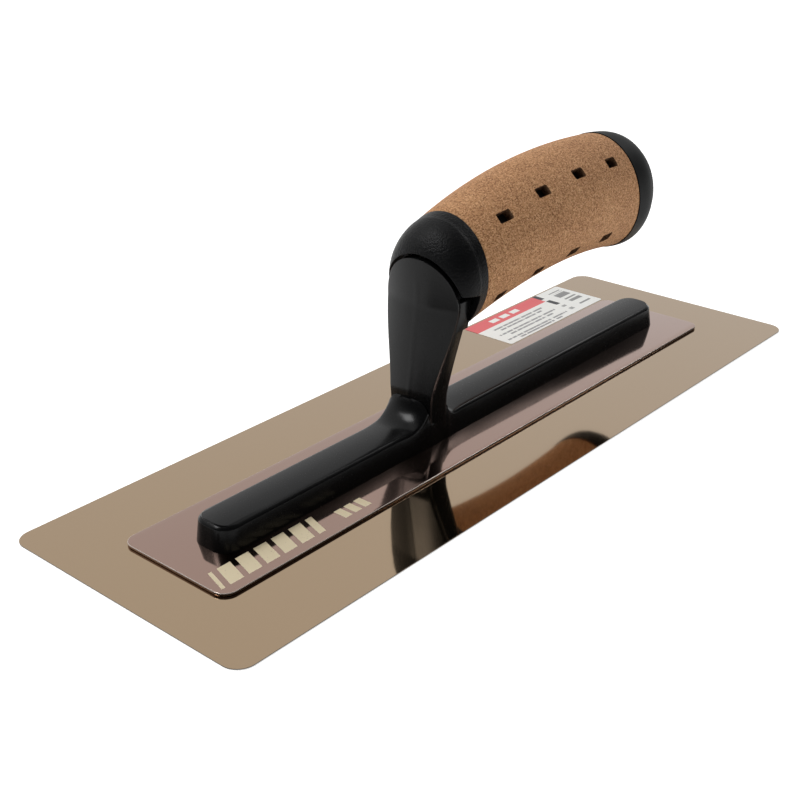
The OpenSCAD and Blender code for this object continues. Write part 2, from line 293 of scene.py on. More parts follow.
def makeBeam():
    low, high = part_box("handle_mount")
    base = beamShape["baseWidth"] / 2
    bevel = beamShape["bevel"]
    shoulder = beamShape["top"] - bevel
    toe = low.x / mm
    heel = high.x / mm
    bottom = low.z / mm
    middle = Vector(((toe + heel) / 2, 0, (bottom + shoulder) / 2)) * mm
    size = Vector((heel - toe, 2 * base, shoulder - bottom)) * mm
    deselectAll()
    bpy.ops.mesh.primitive_cube_add(size=1, location=middle, scale=size)
    piece = nameActive("handleMount")
    pick(piece, "EDGE", lambda edge: isUpright(piece, edge))
    bpy.ops.mesh.bevel(offset=beamShape["cornerRadius"] * mm, segments=9, affect="EDGES")
    objectMode()
    pick(piece, "FACE", lambda face: face.normal.z > 0.9)
    draft = (1 - 2 * beamShape["endDraft"] / (heel - toe), beamShape["shoulderWidth"] / (2 * base), 1)
    bpy.ops.transform.resize(value=draft, center_override=middle)
    bpy.ops.mesh.inset(thickness=bevel * mm, depth=bevel * mm)
    objectMode()
    for level in (shoulder, beamShape["top"]):
        pick(piece, "EDGE", lambda edge: all(abs(end.z / mm - level) < 0.01 for end in endsOf(piece, edge)))
        bpy.ops.mesh.bevel(offset=beamShape["edgeRound"] * mm, segments=2, affect="EDGES")
        objectMode()
    cuts = [footShape["toeStart"] - gap for gap in footShape["approach"]]
    toeTurn = math.asin((footShape["ledge"] - footShape["toeStart"]) / footShape["toeRadius"])
    for i in range(footShape["toeSteps"] + 1):
        turn = toeTurn * i / footShape["toeSteps"]
        cuts.append(footShape["toeStart"] + footShape["toeRadius"] * math.sin(turn))
    near, far = footShape["under"]
    cuts.extend([footShape["ledge"] + near, footShape["ledge"] + far, footShape["waist"]])
    cuts.extend([footShape["heelLedge"] - far, footShape["heelLedge"] - near])
    heelTurn = math.asin((footShape["heelEnd"] - footShape["heelLedge"]) / footShape["heelRadius"])
    for i in range(footShape["heelSteps"], -1, -1):
        turn = heelTurn * i / footShape["heelSteps"]
        cuts.append(footShape["heelEnd"] - footShape["heelRadius"] * math.sin(turn))
    cuts.extend(beamShape["stations"])
    editMode()
    for cut in cuts:
        bpy.ops.mesh.select_all(action="SELECT")
        bpy.ops.mesh.bisect(plane_co=(cut * mm, 0, 0), plane_no=(1, 0, 0))
    for lane in beamShape["lanes"]:
        bpy.ops.mesh.select_all(action="SELECT")
        bpy.ops.mesh.bisect(plane_co=(0, lane * mm, 0), plane_no=(0, 1, 0))
    objectMode()
    topHalf = beamShape["shoulderWidth"] / 2 - bevel
    swellRise = footShape["swellTop"] - footShape["swellShoulder"]
    for vertex in piece.data.vertices:
        x, y, z = vertex.co / mm
        swell = beamSwell(x)
        if z > shoulder - 0.5:
            lift = footRise(x, y)
            if z > beamShape["top"] - 0.01:
                lift += beamShape["crown"] * max(0, 1 - (y / topHalf) ** 2)
            part = min(1, max(0, (z - shoulder) / bevel))
            y *= 1 + (footShape["swellShoulder"] + swellRise * part) * swell
            z += lift
        else:
            y *= 1 + footShape["swellBase"] * swell
        vertex.co = Vector((x, y, z)) * mm
    return piece


def postFront(z, y):
    # front face of the post at a height, bulging towards the toe in the middle, in mm
    climb = (z - postShape["waist"]) / (50 - postShape["waist"])
    lean = min(1.0, max(0.0, climb))
    middle = postShape["front"] + (postShape["frontHigh"] - postShape["front"]) * lean
    ridge = postShape["ridge"] * max(0, 1 - abs(y)) * (1 - ease(z, *postShape["ridgeFade"]))
    return middle + y * y / (2 * footShape["faceRadius"]) - ridge


def postHalf(z):
    # half width of the post below its round top, in mm
    waist = postShape["waistHalf"]
    top = postShape["roundTop"]
    swell = ease(z, postShape["flareStart"], top + 2) / ease(top, postShape["flareStart"], top + 2)
    return waist + (postShape["roundHalf"] - waist) * swell


def makePaddle():
    # a grid mapped on the front face: straight sides below upperStart, a half disc above
    upperStart = postShape["upperStart"]
    deselectAll()
    bpy.ops.mesh.primitive_grid_add(
        x_subdivisions=postShape["columns"], y_subdivisions=postShape["rows"], size=2)
    piece = nameActive("paddle")
    radius = postShape["roundHalf"]
    for vertex in piece.data.vertices:
        u, v = vertex.co.x, vertex.co.y
        if v < upperStart:
            part = (v + 1) / (upperStart + 1)
            z = postShape["bottom"] + (postShape["roundTop"] - postShape["bottom"]) * part
            y = u * postHalf(z)
        else:
            w = (v - upperStart) / (1 - upperStart)
            y = radius * u * math.sqrt(1 - w * w / 2)
            z = postShape["roundTop"] + radius * w * math.sqrt(1 - u * u / 2)
        vertex.co = Vector((postFront(z, y), y, z)) * mm
    finishWith(piece, "SOLIDIFY", thickness=postShape["rim"] * mm, offset=1, use_even_offset=True)
    finishWith(
        piece, "BEVEL", width=postShape["rimRound"] * mm, segments=3, limit_method="ANGLE",
        angle_limit=math.radians(50))
    return piece


def makeNeck():
    levels = [postShape["bottom"] + postShape["neckStep"] * i for i in range(postShape["neckLevels"])]
    levels.extend(postShape["neckTop"])
    roundHalf = postShape["roundHalf"] - postShape["stepHigh"]

    def neckSection(z):
        low = postShape["waist"]
        start, end = postShape["stepRun"]
        part = ease(z, low + start, low + end)
        step = postShape["stepLow"] + (postShape["stepHigh"] - postShape["stepLow"]) * part
        half = postHalf(min(z, postShape["roundTop"])) - step
        if z > postShape["roundTop"]:
            half = math.sqrt(roundHalf ** 2 - (z - postShape["roundTop"]) ** 2)
        rearStart = postShape["rearStart"]
        climb = min(1, max(0, (z - rearStart) / (postShape["roundTop"] - rearStart)))
        rear = postShape["rearLow"] + (postShape["rearHigh"] - postShape["rearLow"]) * climb
        front = postFront(z, half) + postShape["rimHold"] * postShape["rim"] - postShape["rimHold"]
        return (front + rear) / 2, (rear - front) / 2, half

    z = levels[0]
    x, deep, half = neckSection(z)
    deselectAll()
    bpy.ops.mesh.primitive_plane_add(size=2 * mm, location=(x * mm, 0, z * mm))
    piece = nameActive("neck")
    editMode()
    bpy.ops.mesh.select_all(action="SELECT")
    bpy.ops.transform.resize(value=(deep, half, 1), center_override=(x * mm, 0, z * mm))
    bpy.ops.mesh.bevel(offset=postShape["neckCorner"] * mm, segments=4, affect="VERTICES")
    bpy.ops.mesh.select_all(action="SELECT")
    for level in levels[1:]:
        nextX, nextDeep, nextHalf = neckSection(level)
        step = ((nextX - x) * mm, 0, (level - z) * mm)
        bpy.ops.mesh.extrude_region_move(TRANSFORM_OT_translate={"value": step})
        bpy.ops.transform.resize(
            value=(nextDeep / deep, nextHalf / half, 1), center_override=(nextX * mm, 0, level * mm))
        x, deep, half, z = nextX, nextDeep, nextHalf, level
    objectMode()
    return piece


lugShape = {
    "front": -17.4,
    "back": -10.4,
    "bottom": 41.5,
    "top": 53.0,
    "inner": 9.5,
    "outer": 14.4,
    "round": 0.9,
    "draft": (0.6, 2.2),
}


def makeLug(side):
    front, back = lugShape["front"], lugShape["back"]
    middle = (
        (front + back) / 2 * mm,
        side * (lugShape["inner"] + lugShape["outer"]) / 2 * mm,
        (lugShape["bottom"] + lugShape["top"]) / 2 * mm,
    )
    size = (
        (back - front) * mm,
        (lugShape["outer"] - lugShape["inner"]) * mm,
        (lugShape["top"] - lugShape["bottom"]) * mm,
    )
    deselectAll()
    bpy.ops.mesh.primitive_cube_add(size=1, location=middle, scale=size)
    piece = nameActive("lug")
    bottom = (lugShape["bottom"] + 1) * mm
    back, inwards = lugShape["draft"]
    pick(piece, "VERT", lambda vertex: vertex.co.z < bottom)
    bpy.ops.transform.translate(value=(back * mm, -side * inwards * mm, 0))
    objectMode()
    pick(piece, "EDGE", lambda edge: max(end.z for end in endsOf(piece, edge)) > bottom)
    bpy.ops.mesh.bevel(offset=lugShape["round"] * mm, segments=4, affect="EDGES")
    objectMode()
    return piece


tangShape = {
    "diameter": 16.0,
    "start": -5.0,
    "length": 46.0,
    "rise": 6.5,
    "run": 90.3,
    "bore": 9.0,
    "boreDepth": 14.0,
}


def makeRod(start, end, diameter, sides=48):
    # a rod on the grip's axis between two distances behind the collar seam
    turn = math.atan(tangShape["rise"] / tangShape["run"])
    halfWay = (start + end) / 2
    place = (seamX + halfWay * math.cos(turn), 0, gripShape["middle"] + halfWay * math.sin(turn))
    deselectAll()
    bpy.ops.mesh.primitive_cylinder_add(
        vertices=sides, radius=diameter / 2 * mm, depth=(end - start) * mm,
        location=Vector(place) * mm, rotation=(0, math.pi / 2 - turn, 0))
    return nameActive("rod")


def makeHandleMount():
    piece = makeBeam()
    for other in (makePaddle(), makeNeck(), makeLug(1), makeLug(-1)):
        tidyMesh(other)
        unite(piece, other)
    unite(piece, makeRod(tangShape["start"], tangShape["length"], tangShape["diameter"]))
    boreStart = tangShape["length"] - tangShape["boreDepth"]
    carve(piece, makeRod(boreStart, tangShape["length"] + 2, tangShape["bore"], 32))
    tidyMesh(piece)
    shadeByAngle(piece, 32)
    standIn(piece, "black_moulding", "handle_mount")
    return piece


# grip: the cork sleeve between the collar and the end cap

gripShape = {
    "length": 90.3,
    "middle": 58.8,
    "rise": 6.5,
    "arch": 4.65,
    "frontHigh": 39.6,
    "backHigh": 44.8,
    "frontWide": 36.4,
    "backWide": 38.2,
    "swellHigh": -1.2,
    "swellWide": 3.8,
    "backLean": 5.0,
    "wall": 3.2,
    "endRound": 0.45,
    "steps": 30,
    "sides": 88,
}
slotShape = {
    "length": 6.2,
    "width": 3.8,
    "places": (0.157, 0.385, 0.616, 0.847),
    "lowerShift": 0.0443,
    "upperAngle": 46.0,
    "lowerAngle": -37.0,
    "cornerRound": 0.55,
    "cutterLong": 16.0,
    "cutterReach": 1.02,
    "wallBand": (0.85, 0.98),
}


def gripSection(s):
    bow = 4 * s * (1 - s)
    x = seamX + gripShape["length"] * s
    z = gripShape["middle"] + gripShape["rise"] * s + gripShape["arch"] * bow
    wide = gripShape["frontWide"] + (gripShape["backWide"] - gripShape["frontWide"]) * s
    high = gripShape["frontHigh"] + (gripShape["backHigh"] - gripShape["frontHigh"]) * s
    wide += gripShape["swellWide"] * bow
    high += gripShape["swellHigh"] * bow
    return x, z, wide / 2, high / 2, gripShape["backLean"] * s


def makeSlotCutters():
    width = slotShape["width"]
    deselectAll()
    size = (slotShape["length"] * mm, slotShape["cutterLong"] * mm, width * mm)
    bpy.ops.mesh.primitive_cube_add(size=1, location=(0, 0, 0), scale=size)
    first = nameActive("slotCutter")
    pick(first, "EDGE", lambda edge: abs(endsOf(first, edge)[0].y - endsOf(first, edge)[1].y) > 8 * mm)
    bpy.ops.mesh.bevel(offset=slotShape["cornerRound"] * mm, segments=3, affect="EDGES")
    objectMode()
    cutters = []
    for side in (1, -1):
        for lower in (0, 1):
            for place in slotShape["places"]:
                s = place - lower * slotShape["lowerShift"]
                angle = math.radians(slotShape["lowerAngle"] if lower else slotShape["upperAngle"])
                x, z, wide, _, _ = gripSection(s)
                cutter = first.copy()
                cutter.data = first.data.copy()
                bpy.context.collection.objects.link(cutter)
                reach = slotShape["cutterReach"] * wide * mm
                cutter.location = (x * mm, side * reach * math.cos(angle), z * mm + reach * math.sin(angle))
                cutter.rotation_euler = (side * angle, 0, 0)
                useOnly(cutter)
                bpy.ops.object.transform_apply(location=True, rotation=True, scale=True)
                cutters.append(cutter)
    bpy.data.objects.remove(first)
    return joinAll(cutters[0], cutters[1:])


def markSlots(piece):
    # a face attribute that is 1 on the walls of the slots; the cork paint darkens these walls as painted
    # shade
    shade = piece.data.attributes.new("slotShade", "FLOAT", "FACE")
    wallInner, wallOuter = slotShape["wallBand"]
    for face, mark in zip(piece.data.polygons, shade.data):
        x, y, z = face.center / mm
        s = (x - seamX) / gripShape["length"]
        _, middle, wide, high, _ = gripSection(s)
        reach = math.hypot(y / wide, (z - middle) / high)
        mark.value = float(0.03 < s < 0.97 and wallInner < reach < wallOuter)


def makeCorkSleeve():
    steps = gripShape["steps"]
    sections = [gripSection(i / steps) for i in range(steps + 1)]
    growTube(sections, gripShape["sides"])
    piece = nameActive("corkSleeve")
    tidyMesh(piece)
    finishWith(piece, "SOLIDIFY", thickness=gripShape["wall"] * mm, offset=-1, use_even_offset=True)
    finishWith(
        piece, "BEVEL", width=gripShape["endRound"] * mm, segments=3, limit_method="ANGLE",
        angle_limit=math.radians(50))
    carve(piece, makeSlotCutters())
    shadeByAngle(piece, 40)
    markSlots(piece)
    standIn(piece, "cork", "cork_sleeve")
    return piece


# front collar: a band at the seam and a hood with an arched mouth

collarShape = {
    "depth": 15.5,
    "drop": 0.278,
    "band": 3.8,
    "proud": 0.15,
    "mouthRadius": 16.5,
    "wall": 2.4,
    "notchAngle": -9.0,
    "lipAngle": -1.4,
    "farReach": 15.3,
    "rowPower": 1.25,
    "proudRun": 0.04,
    "underStep": 0.7,
    "underTurn": (0.62, 0.78),
    "edgeRound": 0.4,
    "hoodColumns": 56,
    "bandColumns": 44,
    "hoodRows": 16,
}


def domePoint(reach, angle, proud=0.0):
    k = max(0.0, 1 - (reach / collarShape["depth"]) ** 3) ** (1 / 3)
    wide = gripShape["frontWide"] / 2 * k + proud
    high = gripShape["frontHigh"] / 2 * k + proud
    z = gripShape["middle"] - collarShape["drop"] * reach
    return Vector((seamX - reach, wide * math.cos(angle), z + high * math.sin(angle))) * mm


def lipReach(angle):
    # how far forward the dome runs before it meets the round mouth
    near, far = collarShape["band"], collarShape["farReach"]
    for _ in range(40):
        reach = (near + far) / 2
        point = domePoint(reach, angle) / mm
        gap = math.hypot(point.y, point.z - postShape["roundTop"]) - collarShape["mouthRadius"]
        near, far = (reach, far) if gap > 0 else (near, reach)
    return near


def makeFrontCollar():
    hoodColumns = collarShape["hoodColumns"]
    bandColumns = collarShape["bandColumns"]
    notch = math.radians(collarShape["notchAngle"])
    lip = math.radians(collarShape["lipAngle"])
    deselectAll()
    bpy.ops.mesh.primitive_grid_add(
        x_subdivisions=hoodColumns, y_subdivisions=collarShape["hoodRows"], size=2)
    hood = nameActive("frontCollar")
    for vertex in hood.data.vertices:
        across = (vertex.co.x + 1) / 2
        along = ((vertex.co.y + 1) / 2) ** collarShape["rowPower"]
        start = notch + (lip - notch) * along
        angle = start + (math.pi - 2 * start) * across
        lipAngle = lip + (math.pi - 2 * lip) * across
        reach = collarShape["band"] + (lipReach(lipAngle) - collarShape["band"]) * along
        vertex.co = domePoint(reach, angle, collarShape["proud"] * ease(along, 0, collarShape["proudRun"]))
    deselectAll()
    bpy.ops.mesh.primitive_grid_add(x_subdivisions=hoodColumns + bandColumns, y_subdivisions=4, size=2)
    band = nameActive("collarBand")
    hoodShare = hoodColumns / (hoodColumns + bandColumns)
    for vertex in band.data.vertices:
        across = (vertex.co.x + 1) / 2
        along = (vertex.co.y + 1) / 2
        if across <= hoodShare + 1e-4:
            angle = notch + (math.pi - 2 * notch) * across / hoodShare
        else:
            angle = math.pi - notch + (math.pi + 2 * notch) * (across - hoodShare) / (1 - hoodShare)
        under = ease(-math.sin(angle), *collarShape["underTurn"])
        front = collarShape["band"] - collarShape["underStep"] * under
        vertex.co = domePoint(front * along, angle)
    piece = joinAll(hood, [band])
    tidyMesh(piece, 0.02 * mm)
    finishWith(piece, "SOLIDIFY", thickness=collarShape["wall"] * mm, offset=-1, use_even_offset=True)
    finishWith(
        piece, "BEVEL", width=collarShape["edgeRound"] * mm, segments=3, limit_method="ANGLE",
        angle_limit=math.radians(50))
    shadeByAngle(piece, 38)
    standIn(piece, "black_grip_trim", "front_collar")
    return piece


# end cap: a flush band, a fine groove and a raised disc

capShape = {
    "depth": 17.0,
    "drop": 0.134,
    "square": 3.5,
    "wide": 19.35,
    "high": 22.65,
    "leanTurn": 9.0,
    "grooveAt": 0.93,
    "grooveDepth": 0.5,
    "discAt": 0.85,
    "discProud": 1.1,
    "grooveHalf": (0.006, 0.004),
    "discFoot": (-0.3, 0.25),
    "discRise": ((0.004, 0.0), (0.007, 0.45), (0.014, 0.8), (0.026, 0.96)),
    "wall": 2.6,
    "bandSizes": (1.0, 0.9995, 0.998, 0.995, 0.99, 0.983, 0.975, 0.965, 0.955, 0.945),
    "betweenSizes": (0.91, 0.89, 0.87),
    "discSizes": (0.8, 0.76, 0.7, 0.62, 0.52, 0.4, 0.27, 0.14, 0.05),
}


def capSection(size, proud=0.0, inset=0.0):
    capX = seamX + gripShape["length"]
    square = capShape["square"]
    u = max(0.0, 1 - size ** square) ** (1 / square)
    reach = capShape["depth"] * u + proud
    z = gripShape["middle"] + gripShape["rise"] - capShape["drop"] * reach
    lean = gripShape["backLean"] - capShape["leanTurn"] * u
    return capX + reach, z, capShape["wide"] * size - inset, capShape["high"] * size - inset, lean


def makeEndCap():
    groove = capShape["grooveAt"]
    disc = capShape["discAt"]
    deep = capShape["grooveDepth"]
    proud = capShape["discProud"]
    sections = [capSection(size) for size in capShape["bandSizes"]]
    lip, floor = capShape["grooveHalf"]
    sections.append(capSection(groove + lip))
    sections.append(capSection(groove + floor, -0.4 * deep, deep))
    sections.append(capSection(groove - floor, -0.4 * deep, deep))
    for size in (groove - lip, *capShape["betweenSizes"], disc + floor):
        sections.append(capSection(size))
    sections.append(capSection(disc, *capShape["discFoot"]))
    for inset, part in capShape["discRise"]:
        sections.append(capSection(disc - inset, proud * part))
    for size in capShape["discSizes"]:
        sections.append(capSection(size, proud))
    growTube(sections, gripShape["sides"])
    editMode()
    bpy.ops.mesh.edge_face_add()
    objectMode()
    piece = nameActive("endCap")
    tidyMesh(piece)
    finishWith(piece, "SOLIDIFY", thickness=capShape["wall"] * mm, offset=-1, use_even_offset=True)
    shadeByAngle(piece, 34)
    standIn(piece, "black_grip_trim", "end_cap")
    return piece


# paint: node materials written as sums


class Wire:
    # a socket that adds, multiplies and compares like a number
    def __init__(self, paint, socket):
        self.paint = paint
        self.socket = socket

    def __add__(self, other):
        return self.paint.maths("ADD", self, other)

    def __sub__(self, other):
        return self.paint.maths("SUBTRACT", self, other)

    def __mul__(self, other):
        return self.paint.maths("MULTIPLY", self, other)

    def __truediv__(self, other):
        return self.paint.maths("DIVIDE", self, other)

    def __gt__(self, other):
        return self.paint.maths("GREATER_THAN", self, other)

    def __lt__(self, other):
        return self.paint.maths("LESS_THAN", self, other)

    def __rsub__(self, other):
        return self.paint.maths("SUBTRACT", other, self)

    __radd__ = __add__
    __rmul__ = __mul__


class Paint:
    def __init__(self, name):
        self.material = bpy.data.materials.new(name)
        self.material.use_nodes = True
        self.tree = self.material.node_tree
        self.shader = self.tree.nodes["Principled BSDF"]
        self.place = self.node("ShaderNodeTexCoord", {}, {}, "Object")

    def plug(self, value, socket):
        if isinstance(value, Wire):
            self.tree.links.new(value.socket, socket)
        elif isinstance(value, tuple) and len(value) == 3 and socket.type == "RGBA":
            socket.default_value = value + (1,)
        else:
            socket.default_value = value

    def node(self, kind, settings, sockets, out=0):
        made = self.tree.nodes.new(kind)
        for key, value in settings.items():
            if key == "stops":
                self.setStops(made.color_ramp, value)
            else:
                setattr(made, key, value)
        for key, value in sockets.items():
            self.plug(value, made.inputs[key])
        return Wire(self, made.outputs[out])

    def setStops(self, ramp, stops):
        while len(ramp.elements) < len(stops):
            ramp.elements.new(0.5)
        for element, (position, colour) in zip(ramp.elements, stops):
            element.position = position
            element.color = colour + (1,)

    def maths(self, operation, first, second):
        return self.node("ShaderNodeMath", {"operation": operation}, {0: first, 1: second})

    def stretched(self, x, y, z):
        return self.node("ShaderNodeMapping", {}, {"Vector": self.place, "Scale": (x, y, z)})

    def noise(self, scale, detail=2.0, rough=0.5, vector=None):
        sockets = {"Vector": vector or self.place, "Scale": scale, "Detail": detail, "Roughness": rough}
        return self.node("ShaderNodeTexNoise", {}, sockets, "Fac")

    def cells(self, scale, out="Distance"):
        return self.node("ShaderNodeTexVoronoi", {}, {"Vector": self.place, "Scale": scale}, out)

    def fade(self, value, low, high):
        sockets = {"Value": value, "From Min": low, "From Max": high}
        return self.node("ShaderNodeMapRange", {"interpolation_type": "SMOOTHSTEP"}, sockets)

    def blend(self, factor, first, second, how="MIX"):
        settings = {"data_type": "RGBA", "blend_type": how}
        return self.node("ShaderNodeMix", settings, {0: factor, 6: first, 7: second}, 2)

    def bumps(self, height, distance, strength=1.0):
        sockets = {"Strength": strength, "Distance": distance, "Height": height}
        return self.node("ShaderNodeBump", {}, sockets, "Normal")

    def axes(self):
        return [self.node("ShaderNodeSeparateXYZ", {}, {0: self.place}, i) for i in range(3)]

    def slab(self, axis, low, high):
        # 1 between two places on an axis, in mm
        return (axis > low * mm) * (axis < high * mm)

    def finish(self, sockets):
        for key, value in sockets.items():
            self.plug(value, self.shader.inputs[key])
        return self.material


def dress(name, material):
    # a carried-over node keeps its slots and a new piece gets one
    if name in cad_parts:
        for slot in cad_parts[name].material_slots:
            slot.material = material
    else:
        piece = bpy.data.objects[name]
        piece.data.materials.clear()
        piece.data.materials.append(material)


bladeFinish = {
    "colour": (0.40, 0.292, 0.190),
    "far": (0.415, 0.318, 0.224),
    "cutEdgeShade": (0.09, 0.075, 0.06),
    "cutHeight": 0.285,
    "along": (-0.15, 0.13),
    "roughness": 0.045,
}


def paintBladeSteel():
    paint = Paint("bladeSteel")
    cloud = paint.noise(9, 3, 0.55)
    streak = paint.noise(60, 3, 0.6, paint.stretched(0.12, 3, 1))
    smudge = paint.fade(paint.noise(26, 4, 0.6), 0.5, 0.75)
    x, _, z = paint.axes()
    # the base colour turns lighter towards the far end (+x): a painted reflection gradient, with random
    # cloud on top
    along = paint.fade(x, *bladeFinish["along"])
    colour = paint.blend(along * 0.8 + cloud * 0.3 - 0.1, bladeFinish["colour"], bladeFinish["far"])
    rough = smudge * 0.02 + streak * 0.015 + bladeFinish["roughness"]
    height = paint.noise(7, 1, 0.5) * 0.9 + streak * 0.012
    # the thin cut edge below cutHeight gets a dark, rougher base colour: painted shade along the blade's
    # edge
    cut = z < bladeFinish["cutHeight"] * mm
    return paint.finish({
        "Base Color": paint.blend(cut, colour, bladeFinish["cutEdgeShade"]),
        "Metallic": 1.0,
        "Roughness": rough + cut * 0.3,
        "Normal": paint.bumps(height, 0.0006, 0.25),
    })


plateMarks = {
    "pitch": 0.0072,
    "share": 0.72,
    "slant": 0.3,
    "barsX": (-124.2, -82.0),
    "barsY": (-19.6, -10.4),
    "blocksX": ((-78.6, -75.6), (-74.2, -71.2), (-69.8, -66.8)),
    "blocksY": (-19.2, -13.8),
}
plateFinish = {
    "colour": (0.345, 0.235, 0.195),
    "far": (0.385, 0.275, 0.235),
    "ink": (0.68, 0.58, 0.39),
    # pale colour of the painted highlight along the plate's top edge
    "edge": (0.62, 0.55, 0.50),
    "edgeHighlightBand": (0.26, 0.01),
    "roughness": 0.07,
}


def paintPlateSteel():
    paint = Paint("plateSteel")
    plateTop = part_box("backing_plate")[1].z / mm
    cloud = paint.noise(14, 3, 0.55)
    grain = paint.noise(300, 3, 0.6, paint.stretched(0.1, 2, 1))
    x, y, z = paint.axes()
    # the base colour turns lighter towards the far end (+x): a painted reflection gradient, with random
    # cloud on top
    along = paint.fade(x, -0.13, 0.13)
    colour = paint.blend(along * 0.8 + cloud * 0.3 - 0.1, plateFinish["colour"], plateFinish["far"])
    lean = x - y * plateMarks["slant"]
    stripe = paint.node("ShaderNodeMath", {"operation": "FRACT"}, {0: (lean + 0.2) / plateMarks["pitch"]})
    bars = (stripe < plateMarks["share"]) * paint.slab(lean, *plateMarks["barsX"])
    bars = bars * paint.slab(y, *plateMarks["barsY"])
    blocks = sum(paint.slab(x, *span) for span in plateMarks["blocksX"])
    ink = (bars + blocks * paint.slab(y, *plateMarks["blocksY"])) * (z > (plateTop - 0.1) * mm)
    worn = ink * (1 - paint.fade(paint.noise(900, 3, 0.7), 0.62, 0.72) * 0.5)
    # a pale, non-metallic band just under the plate's top edge: a painted highlight standing in for the lit
    # top edge
    low, high = plateFinish["edgeHighlightBand"]
    rim = paint.slab(z, plateTop - low, plateTop - high) * 0.7
    colour = paint.blend(rim, colour, plateFinish["edge"])
    return paint.finish({
        "Base Color": paint.blend(worn, colour, plateFinish["ink"]),
        "Metallic": (1 - worn) * (1 - rim),
        "Roughness": grain * 0.03 + worn * 0.4 + plateFinish["roughness"],
        "Normal": paint.bumps(paint.noise(16, 1, 0.5) * 0.6 + grain * 0.02 + worn * 0.05, 0.0006, 0.25),
    })


mouldingFinish = {
    "colour": (0.0022, 0.0023, 0.0025),
    "worn": (0.0050, 0.0051, 0.0054),
    "roughness": 0.23,
    "specular": 0.175,
}


def paintBlackMoulding():
    paint = Paint("blackMoulding")
    cloud = paint.noise(38, 4, 0.6)
    streak = paint.noise(130, 3, 0.6, paint.stretched(0.35, 1.6, 1))
    grain = paint.noise(2600, 2, 0.6)
    dust = paint.fade(paint.noise(1500, 2, 0.5), 0.66, 0.74)
    colour = paint.blend(cloud * 0.6 + dust * 0.5, mouldingFinish["colour"], mouldingFinish["worn"])
    rough = mouldingFinish["roughness"] + (cloud - 0.5) * 0.12 + (streak - 0.5) * 0.10 + dust * 0.1
    return paint.finish({
        "Base Color": colour,
        "Roughness": rough,
        "Specular IOR Level": mouldingFinish["specular"],
        "Normal": paint.bumps(streak * 0.5 + grain * 0.22, 0.00005, 0.35),
    })


trimFinish = {
    "colour": (0.0020, 0.0021, 0.0024),
    "worn": (0.0054, 0.0056, 0.0062),
    "roughness": 0.36,
    "specular": 0.12,
}


def paintCollarTrim():
    paint = Paint("collarTrim")
    pebble = paint.cells(1600)
    fine = paint.noise(4200, 2, 0.6)
    cloud = paint.noise(60, 3, 0.55)
    rub = cloud * 0.5 + paint.fade(fine, 0.5, 0.8) * 0.5
    colour = paint.blend(rub, trimFinish["colour"], trimFinish["worn"])
    return paint.finish({
        "Base Color": colour,
        "Roughness": trimFinish["roughness"] + (cloud - 0.5) * 0.15,
        "Specular IOR Level": trimFinish["specular"],
        "Normal": paint.bumps(pebble * 0.8 + fine * 0.5, 0.0002, 0.7),
    })


capFinish = {
    "colour": (0.0022, 0.0025, 0.0026),
    "worn": (0.0056, 0.0062, 0.0062),
    "roughness": 0.50,
    "specular": 0.08,
}


def paintCapTrim():
    paint = Paint("capTrim")
    fine = paint.noise(3600, 2, 0.6)
    cloud = paint.noise(70, 3, 0.55)
    scuff = paint.fade(paint.noise(420, 4, 0.7, paint.stretched(1, 0.4, 1.6)), 0.6, 0.72)
    colour = paint.blend(cloud * 0.5 + scuff * 0.35, capFinish["colour"], capFinish["worn"])
    return paint.finish({
        "Base Color": colour,
        "Roughness": capFinish["roughness"] + (cloud - 0.5) * 0.14 + scuff * 0.08,
        "Specular IOR Level": capFinish["specular"],
        "Normal": paint.bumps(fine, 0.00008, 0.4),
    })


coreFinish = {"colour": (0.004, 0.004, 0.0045), "worn": (0.009, 0.009, 0.010), "roughness": 0.6}


def paintGripCore():
    paint = Paint("gripCore")
    cloud = paint.noise(90, 3, 0.5)
    return paint.finish({
        "Base Color": paint.blend(cloud, coreFinish["colour"], coreFinish["worn"]),
        "Roughness": coreFinish["roughness"] + (cloud - 0.5) * 0.1,
        "Normal": paint.bumps(paint.noise(1800, 2, 0.5), 0.00006, 0.4),
    })


corkFinish = {
    "deep": (0.190, 0.080, 0.032),
    "warm": (0.470, 0.235, 0.106),
    "middle": (0.550, 0.288, 0.132),
    "light": (0.800, 0.505, 0.275),
    "pit": (0.110, 0.050, 0.022),
    "slot": (0.022, 0.010, 0.005),
    "roughness": 0.78,
    "specular": 0.3,
}


def paintCork():
    paint = Paint("cork")
    warp = paint.noise(1500, 2, 0.5)
    granule = paint.cells(2300, "Color")
    granuleTone = paint.node("ShaderNodeSeparateColor", {}, {0: granule}, 0)
    speck = paint.noise(3200, 3, 0.65)
    patch = paint.noise(55, 3, 0.5)
    tone = granuleTone * 0.40 + speck * 0.95 + warp * 0.35 + patch * 0.20 - 0.46
    stops = [
        (0.22, corkFinish["deep"]),
        (0.46, corkFinish["warm"]),
        (0.60, corkFinish["middle"]),
        (0.86, corkFinish["light"]),
    ]
    colour = paint.node("ShaderNodeValToRGB", {"stops": stops}, {"Fac": tone})
    pit = paint.fade(paint.noise(2100, 3, 0.6), 0.60, 0.70)
    colour = paint.blend(pit * 0.4, colour, corkFinish["pit"])
    # the slot walls are blended towards near black: painted shade inside the slots
    depth = paint.node("ShaderNodeAttribute", {"attribute_name": "slotShade"}, {}, "Fac")
    colour = paint.blend(depth * 0.8, colour, corkFinish["slot"])
    return paint.finish({
        "Base Color": colour,
        "Roughness": corkFinish["roughness"] + (speck - 0.5) * 0.2,
        "Specular IOR Level": corkFinish["specular"],
        "Normal": paint.bumps(speck * 0.7 + granuleTone * 0.3 - pit * 0.6, 0.00022, 0.55),
    })


